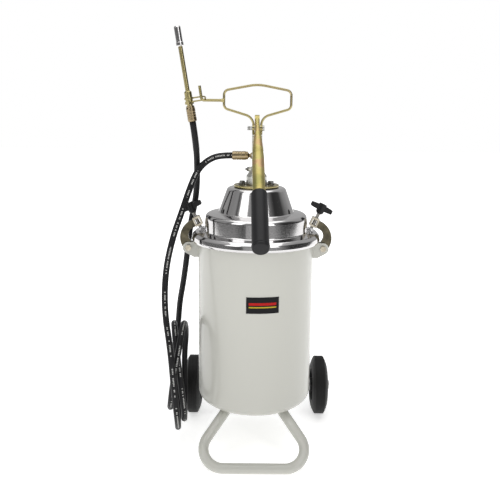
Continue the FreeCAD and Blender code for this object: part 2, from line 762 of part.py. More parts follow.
def nozzle_tube():
    return on_nozzle(Part.makeCylinder(4.5, 88.0, V(0, 0, 62.0)))


def coupler_body():
    """Grease coupler sleeve: collar at its foot, knurl band and open mouth."""
    sleeve = turned([(0, 150.0), (5.6, 150.0), (7.4, 152.0), (7.4, 158.0), (6.7, 159.0),
                     (6.7, 187.5), (5.6, 190.0), (mouth_r, 190.0), (mouth_r, 176.0), (0, 176.0)],
                    [0, 0.8, 0.8, 0.8, 0.3, 1.0, 0.6, 0.5, 0, 0])
    return on_nozzle(sleeve)


def coupler_jaws():
    """Three gripping jaws inside the coupler's mouth."""
    foot = V(0, 0, 178.0)
    ring = cut(Part.makeCylinder(mouth_r, 8.0, foot), Part.makeCylinder(nipple_r, 8.0, foot))
    for k in range(3):
        gap = block(0, 5, -0.35, 0.35, 177.0, 187.0)
        gap.rotate(V(0, 0, 0), Z, 120.0 * k)
        ring = ring.cut(gap)
    return on_nozzle(ring)


# all nodes
def main():
    os.makedirs("parts", exist_ok=True)
    single = [drum, label, lid_gasket, lid, stand_foot, axle_brackets, axle, axle_washers, axle_caps,
              flange_gasket, pump_flange, flange_bolts, pump_head, rod_seal, bleed_screw, pump_tube,
              foot_valve_seat, foot_valve_ball, piston, piston_seal, piston_rod, outlet_fitting,
              lever, drive_pin, lever_grip, loop_handle, fulcrum_pin, split_pin, clamp_lugs,
              clamp_pivot_bolts, follower_plate, follower_seal, hose, hose_ferrule_pump,
              nozzle_adapter, hanger_ring, nozzle_tube, coupler_body, coupler_jaws]
    for make in single:
        save(make.__name__, make())
    save("hose_ferrule_nozzle", on_nozzle(ferrule(31.5)))
    for side, turn in (("right", lambda s: s), ("left", mirrored)):
        for make in (clamp_arm, screw_housing, clamp_pad, clamp_screw, clamp_knob):
            save(make.__name__ + "_" + side, turn(make()))
        place = V(wheel_x, axle_y, wheel_r)
        save("tyre_" + side, shifted(turn(place_on_axis(tyre(), place, X))))
        save("hub_" + side, shifted(turn(place_on_axis(hub(), place, X))))


main()
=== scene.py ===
import bpy, math
import numpy as np
from mathutils import Matrix, Vector


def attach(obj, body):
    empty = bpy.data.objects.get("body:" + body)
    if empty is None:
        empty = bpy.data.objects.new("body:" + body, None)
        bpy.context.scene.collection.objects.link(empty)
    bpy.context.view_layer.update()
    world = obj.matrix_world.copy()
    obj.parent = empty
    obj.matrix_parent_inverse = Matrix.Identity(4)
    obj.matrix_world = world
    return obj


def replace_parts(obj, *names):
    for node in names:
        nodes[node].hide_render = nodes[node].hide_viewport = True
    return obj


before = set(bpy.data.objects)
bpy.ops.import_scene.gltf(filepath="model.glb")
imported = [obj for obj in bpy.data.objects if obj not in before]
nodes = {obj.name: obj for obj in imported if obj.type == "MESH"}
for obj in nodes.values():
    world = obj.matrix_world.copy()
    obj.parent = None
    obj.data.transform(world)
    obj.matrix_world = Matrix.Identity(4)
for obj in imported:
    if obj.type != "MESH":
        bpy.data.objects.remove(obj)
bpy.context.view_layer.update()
scene = bpy.context.scene
drumX, drumY = -0.007, 0.05327   # the drum's axis from the origin

print("stage: camera and lights")
cameraSet = {"spot": (-0.01757, -1.44251, 0.76342), "down": 12.51, "pan": 0.21, "roll": 0.63, "lens": 48.76}


def aimCamera(s):
    # forward, right and up from the pan, the downward tilt and the roll about the view
    p, a, r = (math.radians(s[k]) for k in ("down", "pan", "roll"))
    ahead = Vector((math.sin(a) * math.cos(p), math.cos(a) * math.cos(p), -math.sin(p)))
    right = Vector((math.cos(a), -math.sin(a), 0.0))
    up = right.cross(ahead)
    tiltedRight = right * math.cos(r) + up * math.sin(r)
    tiltedUp = up * math.cos(r) - right * math.sin(r)
    turn = Matrix((tiltedRight, tiltedUp, -ahead)).transposed().to_4x4()
    lens = bpy.data.cameras.new("studioCamera")
    lens.lens, lens.sensor_width, lens.clip_end = s["lens"], 36.0, 50.0
    eye = bpy.data.objects.new("studioCamera", lens)
    eye.matrix_world = Matrix.Translation(Vector(s["spot"]) + Vector((drumX, drumY, 0))) @ turn
    scene.collection.objects.link(eye)
    scene.camera = eye


aimCamera(cameraSet)

lampSet = {
    "keyLeft": {"at": (-1.6, -1.6, 1.9), "to": (0, 0, 0.45), "size": (1.1, 1.6), "watts": 11},
    "keyRight": {"at": (1.3, -2.0, 1.6), "to": (0, 0, 0.45), "size": (0.7, 1.6), "watts": 10},
    "overhead": {"at": (0.0, -0.1, 2.6), "to": (0, 0, 0), "size": (2.4, 2.4), "watts": 24},
    "lowFront": {"at": (0.0, -2.4, 0.5), "to": (0, 0, 0.3), "size": (2.0, 0.8), "watts": 1.2},
}


def hangLamp(name, s):
    lamp = bpy.data.lights.new(name, "AREA")
    lamp.shape, lamp.size, lamp.size_y, lamp.energy = "RECTANGLE", s["size"][0], s["size"][1], s["watts"]
    holder = bpy.data.objects.new(name, lamp)
    spot = Vector(s["at"])
    aim = (Vector(s["to"]) - spot).to_track_quat("-Z", "Y")
    holder.matrix_world = Matrix.Translation(spot) @ aim.to_matrix().to_4x4()
    scene.collection.objects.link(holder)


for name, s in lampSet.items():
    hangLamp(name, s)

# brightness of the room against direction: 0 and 1 are straight behind the machine, 0.25 its left,
# 0.5 where the camera stands and 0.75 its right
roomSet = {
    "low": [(0.0, 0.80), (0.17, 0.62), (0.22, 0.26), (0.36, 0.34), (0.42, 0.16), (0.50, 0.48), (0.60, 0.62),
            (0.67, 0.07), (0.80, 0.07), (0.86, 0.66), (1.0, 0.80)],
    "high": [(0.0, 0.80), (0.20, 0.66), (0.24, 0.50), (0.295, 0.58), (0.31, 0.08), (0.335, 0.62),
             (0.45, 0.60), (0.60, 0.52), (0.68, 0.06), (0.76, 0.10), (0.82, 0.70), (1.0, 0.80)],
    "split": (0.12, 0.38), "ceiling": (0.60, 0.90), "strength": 0.60,
}


def greyRamp(tree, source, stops):
    node = tree.nodes.new("ShaderNodeValToRGB")
    band = node.color_ramp
    while len(band.elements) < len(stops):
        band.elements.new(0.5)
    for element, (place, value) in zip(band.elements, stops):
        element.position, element.color = place, (value, value, value, 1.0)
    tree.links.new(source, node.inputs["Fac"])
    return node.outputs["Color"]


def easeBetween(tree, source, low, high):
    node = tree.nodes.new("ShaderNodeMapRange")
    node.interpolation_type = "SMOOTHSTEP"
    node.inputs["From Min"].default_value, node.inputs["From Max"].default_value = low, high
    tree.links.new(source, node.inputs["Value"])
    return node.outputs["Result"]


def blend(tree, amount, first, second):
    node = tree.nodes.new("ShaderNodeMix")
    node.data_type = "RGBA"
    tree.links.new(amount, node.inputs["Factor"])
    for socket, source in ((node.inputs["A"], first), (node.inputs["B"], second)):
        if isinstance(source, tuple):
            socket.default_value = source
        else:
            tree.links.new(source, socket)
    return node.outputs["Result"]


def paintRoom(s):
    # a studio with pale walls behind, a bright ceiling, and darker flats in front that chrome picks up
    room = bpy.data.worlds.new("paleRoom")
    room.use_nodes = True
    tree = room.node_tree
    ground = tree.nodes["Background"]
    place = tree.nodes.new("ShaderNodeTexCoord")
    split = tree.nodes.new("ShaderNodeSeparateXYZ")
    tree.links.new(place.outputs["Generated"], split.inputs["Vector"])
    flip = tree.nodes.new("ShaderNodeMath")
    flip.operation = "MULTIPLY"
    flip.inputs[1].default_value = -1.0
    tree.links.new(split.outputs["Y"], flip.inputs[0])
    turn = tree.nodes.new("ShaderNodeMath")
    turn.operation = "ARCTAN2"
    tree.links.new(split.outputs["X"], turn.inputs[0])
    tree.links.new(flip.outputs["Value"], turn.inputs[1])
    share = tree.nodes.new("ShaderNodeMapRange")
    share.inputs["From Min"].default_value, share.inputs["From Max"].default_value = -math.pi, math.pi
    tree.links.new(turn.outputs["Value"], share.inputs["Value"])
    low = greyRamp(tree, share.outputs["Result"], s["low"])
    high = greyRamp(tree, share.outputs["Result"], s["high"])
    walls = blend(tree, easeBetween(tree, split.outputs["Z"], *s["split"]), low, high)
    whole = blend(tree, easeBetween(tree, split.outputs["Z"], *s["ceiling"]), walls, (1, 1, 1, 1))
    tree.links.new(whole, ground.inputs["Color"])
    ground.inputs["Strength"].default_value = s["strength"]
    plain = tree.nodes.new("ShaderNodeBackground")
    plain.inputs["Strength"].default_value = 1.0
    plain.inputs["Color"].default_value = (1, 1, 1, 1)
    seen = tree.nodes.new("ShaderNodeLightPath")
    choose = tree.nodes.new("ShaderNodeMixShader")
    tree.links.new(seen.outputs["Is Camera Ray"], choose.inputs["Fac"])
    tree.links.new(ground.outputs["Background"], choose.inputs[1])
    tree.links.new(plain.outputs["Background"], choose.inputs[2])
    tree.links.new(choose.outputs["Shader"], tree.nodes["World Output"].inputs["Surface"])
    scene.world = room


paintRoom(roomSet)
scene.view_settings.view_transform = "Standard"

print("stage: materials")


def startMaterial(name, **values):
    # one Principled shader with fixed values on its own sockets
    mat = bpy.data.materials.new(name)
    mat.use_nodes = True
    tree = mat.node_tree
    shader = tree.nodes["Principled BSDF"]
    for key, value in values.items():
        socket = shader.inputs[key.replace("_", " ")]
        socket.default_value = (*value, 1.0) if isinstance(value, tuple) and len(value) == 3 else value
    return mat, tree, shader


def addNode(tree, kind, **values):
    node = tree.nodes.new(kind)
    for key, value in values.items():
        if key in node.inputs:
            node.inputs[key].default_value = value
        else:
            setattr(node, key, value)
    return node


def grain(tree, scale, detail=3.0, stretch=(1, 1, 1)):
    # noise on the piece's own coordinates, stretched along its axes
    place = addNode(tree, "ShaderNodeTexCoord")
    scaled = addNode(tree, "ShaderNodeMapping")
    scaled.inputs["Scale"].default_value = stretch
    tree.links.new(place.outputs["Object"], scaled.inputs["Vector"])
    noise = addNode(tree, "ShaderNodeTexNoise", Scale=scale, Detail=detail)
    tree.links.new(scaled.outputs["Vector"], noise.inputs["Vector"])
    return noise


def ramp(tree, source, stops):
    # colour stops as (position, (r, g, b))
    node = addNode(tree, "ShaderNodeValToRGB")
    band = node.color_ramp
    while len(band.elements) < len(stops):
        band.elements.new(0.5)
    for element, (at, colour) in zip(band.elements, stops):
        element.position = at
        element.color = (*colour, 1.0)
    tree.links.new(source, node.inputs["Fac"])
    return node


def spread(tree, source, low, high):
    # a 0..1 value spread over low..high
    node = addNode(tree, "ShaderNodeMapRange")
    node.inputs["To Min"].default_value = low
    node.inputs["To Max"].default_value = high
    tree.links.new(source, node.inputs["Value"])
    return node.outputs["Result"]


def bump(tree, shader, source, strength, depth):
    node = addNode(tree, "ShaderNodeBump", Strength=strength, Distance=depth)
    tree.links.new(source, node.inputs["Height"])
    tree.links.new(node.outputs["Normal"], shader.inputs["Normal"])
    return node


def paintedSteel(name, light, dark, rough=(0.24, 0.31)):
    # sprayed enamel: slow drift in tone, fine dust, orange peel under a clear gloss
    mat, tree, shader = startMaterial(name, Coat_Weight=0.3, Coat_Roughness=0.14, Specular_IOR_Level=0.4)
    cloud = grain(tree, 3.0, 1.0)
    dust = grain(tree, 900.0, 1.0)
    tint = ramp(tree, cloud.outputs["Fac"], [(0.25, dark), (0.75, light)])
    fleck = ramp(tree, dust.outputs["Fac"], [(0.2, (0.94, 0.94, 0.93)), (0.6, (1, 1, 1))])
    both = addNode(tree, "ShaderNodeMix", data_type="RGBA", blend_type="MULTIPLY")
    both.inputs["Factor"].default_value = 0.12
    tree.links.new(tint.outputs["Color"], both.inputs["A"])
    tree.links.new(fleck.outputs["Color"], both.inputs["B"])
    tree.links.new(both.outputs["Result"], shader.inputs["Base Color"])
    tree.links.new(spread(tree, dust.outputs["Fac"], *rough), shader.inputs["Roughness"])
    peel = grain(tree, 180.0, 1.0)
    bump(tree, shader, peel.outputs["Fac"], 0.03, 0.0002)
    return mat


def platedMetal(name, stops, rough=(0.2, 0.35), scale=35.0, peelScale=600.0, peel=0.05, stretch=(1, 1, 1)):
    # metal whose plating drifts in colour, with fine scratches in its roughness
    mat, tree, shader = startMaterial(name, Metallic=1.0)
    cloud = grain(tree, scale, 5.0)
    tint = ramp(tree, cloud.outputs["Fac"], stops)
    tree.links.new(tint.outputs["Color"], shader.inputs["Base Color"])
    scratch = grain(tree, peelScale, 4.0, stretch)
    tree.links.new(spread(tree, scratch.outputs["Fac"], *rough), shader.inputs["Roughness"])
    bump(tree, shader, scratch.outputs["Fac"], peel, 0.0003)
    return mat


def blackMoulding(name, light, dark, rough=(0.45, 0.6), scale=900.0, depth=0.25):
    # moulded black plastic or rubber with a fine pebble grain
    mat, tree, shader = startMaterial(name, Specular_IOR_Level=0.22)
    cloud = grain(tree, 14.0, 4.0)
    tint = ramp(tree, cloud.outputs["Fac"], [(0.35, dark), (0.75, light)])
    tree.links.new(tint.outputs["Color"], shader.inputs["Base Color"])
    pebble = grain(tree, scale, 2.0)
    tree.links.new(spread(tree, pebble.outputs["Fac"], *rough), shader.inputs["Roughness"])
    bump(tree, shader, pebble.outputs["Fac"], depth, 0.0002)
    return mat


drumEnamel = paintedSteel("drumEnamel", (0.525, 0.523, 0.478), (0.51, 0.508, 0.463), rough=(0.25, 0.27))
mirrorChrome = platedMetal("mirrorChrome", [(0.3, (0.60, 0.59, 0.59)), (0.7, (0.66, 0.65, 0.65))],
                           rough=(0.08, 0.13), scale=12.0, peelScale=300.0, peel=0.01)
goldZinc = platedMetal("goldZinc", [(0.30, (0.31, 0.27, 0.12)), (0.45, (0.36, 0.31, 0.15)),
                                    (0.58, (0.39, 0.33, 0.17)), (0.72, (0.36, 0.30, 0.17))],
                       rough=(0.22, 0.27), scale=14.0, peel=0.01)
leverZinc = platedMetal("leverZinc", [(0.30, (0.34, 0.32, 0.11)), (0.42, (0.46, 0.38, 0.14)),
                                      (0.50, (0.50, 0.44, 0.17)), (0.58, (0.54, 0.35, 0.19)),
                                      (0.72, (0.35, 0.38, 0.15))],
                        rough=(0.40, 0.50), scale=22.0, stretch=(1, 1, 0.5))
castHead = platedMetal("castHead", [(0.3, (0.52, 0.52, 0.49)), (0.7, (0.66, 0.66, 0.62))],
                       rough=(0.32, 0.5), scale=60.0, peelScale=420.0, peel=0.3)
brightZinc = platedMetal("brightZinc", [(0.3, (0.40, 0.40, 0.39)), (0.7, (0.54, 0.54, 0.53))],
                         rough=(0.22, 0.36), scale=50.0)
groundSteel = platedMetal("groundSteel", [(0.3, (0.60, 0.60, 0.60)), (0.7, (0.68, 0.68, 0.68))],
                          rough=(0.18, 0.3), scale=20.0, stretch=(1, 1, 30))
threadSteel = platedMetal("threadSteel", [(0.3, (0.30, 0.29, 0.27)), (0.7, (0.46, 0.45, 0.42))],
                          rough=(0.25, 0.4), scale=60.0)
oliveZinc = platedMetal("oliveZinc", [(0.3, (0.25, 0.19, 0.11)), (0.5, (0.30, 0.235, 0.14)),
                                      (0.72, (0.35, 0.28, 0.17))],
                        rough=(0.22, 0.28), scale=50.0, peel=0.02)
darkSteel = platedMetal("darkSteel", [(0.3, (0.13, 0.13, 0.125)), (0.7, (0.27, 0.27, 0.26))],
                        rough=(0.26, 0.42), scale=70.0)
dullNickel = platedMetal("dullNickel", [(0.3, (0.30, 0.27, 0.21)), (0.7, (0.50, 0.46, 0.38))],
                         rough=(0.22, 0.4), scale=80.0)
# the clamp arms' plating, with the dark reflection seen on it painted into a near-black olive colour
armDarkReflection = platedMetal("armDarkReflection", [(0.3, (0.05, 0.045, 0.033)), (0.55, (0.10, 0.088, 0.06)),
                                    (0.8, (0.18, 0.16, 0.11))], rough=(0.28, 0.45), scale=60.0)
turnedBrass = platedMetal("turnedBrass", [(0.3, (0.68, 0.50, 0.22)), (0.7, (0.78, 0.60, 0.28))],
                          rough=(0.2, 0.35), scale=40.0)
greyPlate = paintedSteel("greyPlate", (0.26, 0.26, 0.255), (0.20, 0.20, 0.195))
knobPlastic = blackMoulding("knobPlastic", (0.009, 0.009, 0.010), (0.005, 0.005, 0.006), rough=(0.3, 0.42))
hubPlastic = blackMoulding("hubPlastic", (0.012, 0.012, 0.013), (0.008, 0.008, 0.009), rough=(0.42, 0.55))
tyreRubber = blackMoulding("tyreRubber", (0.010, 0.010, 0.010), (0.006, 0.006, 0.006), rough=(0.48, 0.66),
                           scale=500.0, depth=0.35)
gripRubber = blackMoulding("gripRubber", (0.013, 0.013, 0.014), (0.008, 0.008, 0.009), rough=(0.34, 0.46))
sealRubber = blackMoulding("sealRubber", (0.024, 0.024, 0.024), (0.014, 0.014, 0.014))

labelSet = {
    # the film's left edge, width, bottom edge and height, in metres from the origin
    "left": -0.0265, "wide": 0.067, "foot": 0.338, "tall": 0.0345,
    # plain stripes from edge to edge: left, right, bottom and top as shares of the film, then the colour
    "bars": [(0.08, 0.92, 0.50, 0.66, (0.42, 0.010, 0.008)), (0.08, 0.92, 0.34, 0.42, (0.44, 0.33, 0.02))],
}


def barFilm(name, s):
    # glossy black film; each bar is where both coordinates lie between its edges
    mat, tree, shader = startMaterial(name, Specular_IOR_Level=0.1)
    place = addNode(tree, "ShaderNodeTexCoord")
    split = addNode(tree, "ShaderNodeSeparateXYZ")
    tree.links.new(place.outputs["Object"], split.inputs["Vector"])
    worn = grain(tree, 700.0, 2.0)
    film = ramp(tree, worn.outputs["Fac"], [(0.3, (0.006, 0.006, 0.007)), (0.7, (0.010, 0.010, 0.011))])
    colour = film.outputs["Color"]

    def between(source, start, size, low, high):
        near = addNode(tree, "ShaderNodeMath", operation="COMPARE")
        near.inputs[1].default_value = start + size * (low + high) / 2
        near.inputs[2].default_value = size * (high - low) / 2
        tree.links.new(split.outputs[source], near.inputs[0])
        return near.outputs["Value"]

    for left, right, foot, top, tint in s["bars"]:
        inside = addNode(tree, "ShaderNodeMath", operation="MULTIPLY")
        tree.links.new(between("X", s["left"], s["wide"], left, right), inside.inputs[0])
        tree.links.new(between("Z", s["foot"], s["tall"], foot, top), inside.inputs[1])
        colour = blend(tree, inside.outputs["Value"], colour, (*tint, 1.0))
    tree.links.new(colour, shader.inputs["Base Color"])
    tree.links.new(spread(tree, worn.outputs["Fac"], 0.16, 0.24), shader.inputs["Roughness"])
    return mat


labelFilm = barFilm("labelFilm", labelSet)

finishes = {
    "drum": drumEnamel, "stand_foot": drumEnamel, "axle_brackets": drumEnamel, "clamp_lugs": drumEnamel,
    "lid": mirrorChrome, "coupler_body": mirrorChrome, "coupler_jaws": groundSteel, "label": labelFilm,
    "lid_gasket": sealRubber, "flange_gasket": sealRubber, "rod_seal": sealRubber, "piston_seal": sealRubber,
    "follower_seal": sealRubber, "lever_grip": gripRubber, "hose": sealRubber,
    "axle": brightZinc, "axle_washers": brightZinc, "axle_caps": brightZinc, "fulcrum_pin": brightZinc,
    "split_pin": darkSteel, "drive_pin": darkSteel, "bleed_screw": darkSteel, "flange_bolts": darkSteel,
    "pump_flange": goldZinc, "lever": leverZinc, "loop_handle": goldZinc, "nozzle_adapter": goldZinc,
    "nozzle_tube": goldZinc, "hanger_ring": goldZinc, "clamp_pivot_bolts": dullNickel,
    "outlet_fitting": oliveZinc, "hose_ferrule_pump": oliveZinc, "hose_ferrule_nozzle": oliveZinc,
    "pump_head": castHead, "piston": castHead,
    "piston_rod": groundSteel, "pump_tube": groundSteel, "foot_valve_ball": groundSteel,
    "foot_valve_seat": turnedBrass, "follower_plate": greyPlate,
}
for side in ("right", "left"):
    finishes.update({"clamp_arm_" + side: armDarkReflection, "screw_housing_" + side: dullNickel,
                     "clamp_pad_" + side: groundSteel, "clamp_screw_" + side: groundSteel,
                     "clamp_knob_" + side: knobPlastic, "tyre_" + side: tyreRubber,
                     "hub_" + side: hubPlastic})
for name, mat in finishes.items():
    mesh = nodes[name].data
    mesh.materials.clear()
    mesh.materials.append(mat)

print("stage: shape helpers")


def gridFaces(rows, cols, closeRows, closeCols):
    # quads between neighbouring grid points, wrapping where a direction closes
    r = np.arange(rows if closeRows else rows - 1)[:, None]
    c = np.arange(cols if closeCols else cols - 1)[None, :]
    rNext, cNext = (r + 1) % rows, (c + 1) % cols
    corners = [r * cols + c, rNext * cols + c, rNext * cols + cNext, r * cols + cNext]
    return np.stack(corners, -1).reshape(-1, 4)


def endFans(around, rings, first, last):
    # triangles from a pole at each end to the first and the last ring
    i, j = np.arange(around), (np.arange(around) + 1) % around
    top = (rings - 1) * around
    return [np.stack([j, i, 0 * i + first], -1), np.stack([i + top, j + top, 0 * i + last], -1)]


def meshFrom(name, points, faces, mat, body, uv=None):
    # one object at the origin from an (n, 3) array in metres and a list of face arrays
    mesh = bpy.data.meshes.new(name)
    mesh.from_pydata(points.tolist(), [], [f for part in faces for f in part.tolist()])
    if uv is not None:
        layer = mesh.uv_layers.new(name="alongPiece")
        corners = np.empty(len(mesh.loops), dtype=np.int32)
        mesh.loops.foreach_get("vertex_index", corners)
        layer.data.foreach_set("uv", uv(corners).astype(np.float32).ravel())
    mesh.polygons.foreach_set("use_smooth", np.full(len(mesh.polygons), True))
    mesh.materials.append(mat)
    mesh.validate()
    mesh.update()
    piece = bpy.data.objects.new(name, mesh)
    scene.collection.objects.link(piece)
    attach(piece, body)
    return piece


def roundCorners(outline, radii, steps=6, closed=False):
    # each corner of an outline becomes a tangent arc of its own radius
    pts = np.array(outline, float)
    n, out = len(pts), []
    for i, p in enumerate(pts):
        r = radii[i]
        if r == 0 or (not closed and i in (0, n - 1)):
            out.append(p[None])
            continue
        back, ahead = pts[i - 1] - p, pts[(i + 1) % n] - p
        back, ahead = back / np.linalg.norm(back), ahead / np.linalg.norm(ahead)
        half = math.acos(np.clip(back @ ahead, -1, 1)) / 2
        mid = (back + ahead) / np.linalg.norm(back + ahead)
        centre = p + mid * (r / math.sin(half))
        swing = np.linspace(-1, 1, steps + 1)[:, None] * (math.pi / 2 - half)
        side = (ahead - back) / np.linalg.norm(ahead - back)
        out.append(centre + r * (np.sin(swing) * side - np.cos(swing) * mid))
    return np.vstack(out)


def frameOf(axis):
    # two unit vectors square to an axis
    axis = np.array(axis, float) / np.linalg.norm(axis)
    side = np.cross(axis, (0, 0, 1.0) if abs(axis[2]) < 0.9 else (1.0, 0, 0))
    side /= np.linalg.norm(side)
    return axis, side, np.cross(axis, side)


def turnedPiece(name, profile, base, axis, mat, body, around, swell=None):
    # radius r and height h of each profile point are carried round the axis:
    # base + axis h + r (side cos a + other sin a); swell(h, a, r) is added to r.
    # A profile that starts and ends on the axis closes in two poles, any other closes on itself.
    axis, side, other = frameOf(axis)
    profile = np.array(profile, float)
    solid = profile[0, 0] < 1e-9 and profile[-1, 0] < 1e-9
    ring = profile[1:-1] if solid else profile
    a = np.linspace(0, 2 * math.pi, around, endpoint=False)
    r, h = ring[:, :1] + 0 * a, ring[:, 1:] + 0 * a
    if swell is not None:
        r = r + swell(h, a[None] + 0 * h, r)
    wheel = np.cos(a)[:, None] * side + np.sin(a)[:, None] * other
    points = np.array(base) + h[..., None] * axis + r[..., None] * wheel
    faces = [gridFaces(len(ring), around, not solid, True)[:, ::-1]]
    points = points.reshape(-1, 3)
    if solid:
        poles = np.array(base) + profile[[0, -1], 1][:, None] * axis
        faces += endFans(around, len(ring), len(points), len(points) + 1)
        points = np.vstack([points, poles])
    return meshFrom(name, points / 1000.0, faces, mat, body)


def carriedFrames(path):
    # unit tangents along a path, and a side vector that turns as little as it can from station to station
    ahead = np.gradient(path, axis=0)
    ahead /= np.linalg.norm(ahead, axis=1)[:, None]
    sides = np.empty_like(ahead)
    side = frameOf(ahead[0])[1]
    for i, t in enumerate(ahead):
        side = side - t * (side @ t)
        side = side / np.linalg.norm(side)
        sides[i] = side
    return ahead, sides, np.cross(ahead, sides)


def sweptPiece(name, path, radius, mat, body, around, closed=False):
    # a round section of the given radius carried along the path; an open path gets a domed cap at each end
    path = np.array(path, float)
    radius = np.broadcast_to(np.asarray(radius, float), len(path))
    if not closed:
        ahead = path[1] - path[0]
        ahead /= np.linalg.norm(ahead)
        back = path[-1] - path[-2]
        back /= np.linalg.norm(back)
        lift, domeShare, flatShare = np.array([1.0, 0.7, 0.35]), 0.45, 0.98
        front = path[0] - ahead * (radius[0] * domeShare * (lift[:, None]))
        rear = path[-1] + back * (radius[-1] * domeShare * (lift[::-1][:, None]))
        shrink = np.sqrt(1 - (lift * flatShare) ** 2)
        path = np.vstack([front, path, rear])
        radius = np.concatenate([radius[0] * shrink, radius, radius[-1] * shrink[::-1]])
    ahead, side, other = carriedFrames(path)
    a = np.linspace(0, 2 * math.pi, around, endpoint=False)
    wheel = np.cos(a)[None, :, None] * side[:, None] + np.sin(a)[None, :, None] * other[:, None]
    points = (path[:, None] + radius[:, None, None] * wheel).reshape(-1, 3)
    faces = [gridFaces(len(path), around, closed, True)[:, ::-1]]
    if not closed:
        faces += endFans(around, len(path), len(points), len(points) + 1)
        points = np.vstack([points, path[[0, -1]]])
    return meshFrom(name, points / 1000.0, faces, mat, body)


def at(x, y, z):
    # a point given from the drum's axis, in millimetres
    return np.array([x + drumX * 1000.0, y + drumY * 1000.0, z], float)


print("stage: drum, lid and stand")
drumSet = {"radius": 125.0, "wall": 2.0, "foot": 105.0, "rim": 478.0, "corner": 22.0, "bead": 5.9,
           "beadDeep": 7.4}
lidSet = {
    "outer": [(133.2, 466.5), (136.4, 466.5), (138.4, 471.0), (137.0, 480.0), (131.5, 485.8), (111.5, 488.3),
              (109.3, 524.5), (81.0, 528.5), (61.5, 582.0), (15.9, 582.0)],
    "inner": [(15.9, 580.4), (60.3, 580.4), (79.6, 527.0), (107.8, 523.0), (109.8, 482.9), (133.2, 482.9)],
    "radii": [0.9, 1.0, 3.0, 5.0, 4.0, 2.5, 10.0, 4.0, 10.0, 0.4, 0.4, 8.4, 5.0, 8.4, 0.8, 2.0],
}
standSet = {"tube": 11.0, "slope": 44.5, "barY": -160.0, "legX": 47.0, "legRun": 147.0, "cornerX": 141.8,
            "bend": 41.8, "weld": 2.1, "weldWide": 0.6, "weldDeep": 0.8, "weldDrop": 0.6, "ripple": 0.3,
            "ripples": 26}


def makeDrum(s):
    # the profile runs out along the pressed bottom, up the wall, round the rolled rim and back down inside
    outer, inner = s["radius"], s["radius"] - s["wall"]
    foot, rim, beadR = s["foot"], s["rim"], s["radius"] + s["bead"]
    beadFoot = rim - s["beadDeep"]
    outline = [(0, foot), (outer, foot), (outer, beadFoot), (beadR, beadFoot), (beadR, rim),
               (inner, rim), (inner, foot + s["wall"]), (0, foot + s["wall"])]
    profile = roundCorners(outline, [0, s["corner"], 0.9, 3.4, 3.4, 0.8, s["corner"] - s["wall"], 0], 10)
    shell = turnedPiece("drumShell", profile, at(0, 0, 0), (0, 0, 1), drumEnamel, "frame", 160)
    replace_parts(shell, "drum")


def makeLid(s):
    # the pressed steps of the dome, out and back along the underside of the sheet
    profile = roundCorners(s["outer"] + s["inner"], s["radii"], 8, closed=True)
    dome = turnedPiece("lidDome", profile, at(0, 0, 0), (0, 0, 1), mirrorChrome, "frame", 160)
    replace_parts(dome, "lid")


def makeStand(s):
    # one tube along a four-point line with round corners, its ends let into the drum's bottom
    slope = math.radians(s["slope"])
    along = np.array([0, math.cos(slope), math.sin(slope)])
    base = at(0, s["barY"], s["tube"])
    side = np.array([1.0, 0, 0])
    corners = [base - side * s["legX"] + along * s["legRun"], base - side * s["cornerX"],
               base + side * s["cornerX"], base + side * s["legX"] + along * s["legRun"]]
    path = roundCorners(corners, [0, s["bend"], s["bend"], 0], 28)
    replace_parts(sweptPiece("standLoop", path, s["tube"], drumEnamel, "frame", 40), "stand_foot")
    run = (drumSet["foot"] - s["tube"]) / math.sin(slope)
    a = np.linspace(0, 2 * math.pi, 144, endpoint=False)
    for name, sign in (("standWeldRight", 1), ("standWeldLeft", -1)):
        # an ellipse round the leg where it meets the drum, its thickness rippling like laid weld
        middle = base + side * s["legX"] * sign + along * run
        wide, deep = s["tube"] + s["weldWide"], s["tube"] / math.sin(slope) + s["weldDeep"]
        ring = middle + np.stack([wide * np.cos(a), deep * np.sin(a), 0 * a - s["weldDrop"]], -1)
        bead = s["weld"] + s["ripple"] * np.sin(s["ripples"] * a)
        sweptPiece(name, ring, bead, drumEnamel, "frame", 12, closed=True)


makeDrum(drumSet)
makeLid(lidSet)
makeStand(standSet)

print("stage: wheels")
wheelSet = {
    # the wheels stand x either side of the drum's axis, moved by shift with their axle
    "x": 155.0, "shift": 7.0, "y": 137.0, "z": 71.0,
    "half": [(45.0, 18.4), (46.6, 19.3), (49.2, 19.4), (49.9, 18.7), (51.0, 18.7), (51.7, 18.9), (58.5, 16.8),
             (63.0, 14.9), (63.6, 14.3), (64.2, 14.3), (67.5, 12.7), (71.0, 10.4), (71.0, 0.5), (70.6, 0.2)],
    "radii": [0, 0.6, 0.6, 0.3, 0.3, 0.8, 6.0, 0.3, 0.2, 0.3, 4.0, 1.2, 0.2, 0],
}


def makeTyre(side, sign, s):
    # half a tyre's section mirrored about its middle, where the mould leaves a fine groove
    half = s["half"]
    outline = half + [(r, -z) for r, z in reversed(half)]
    profile = roundCorners(outline, s["radii"] + s["radii"][::-1], 6, closed=True)[::-1]
    spot = at(sign * s["x"] + s["shift"], s["y"], s["z"])
    tyre = turnedPiece("tyreSolid" + side.title(), profile, spot, (1, 0, 0), tyreRubber, "wheel_" + side,
                       144)
    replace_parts(tyre, "tyre_" + side)


for side, sign in (("right", 1), ("left", -1)):
    makeTyre(side, sign, wheelSet)

print("stage: clamp screws")
screwSet = {"footX": 118.3, "footZ": 490.0, "lean": 25.2, "from": 4.8, "to": 44.0, "radius": 3.72,
            "pitch": 1.5, "deep": 0.26, "chamfer": 0.7, "firstRow": 0.8, "rowStep": 0.25}


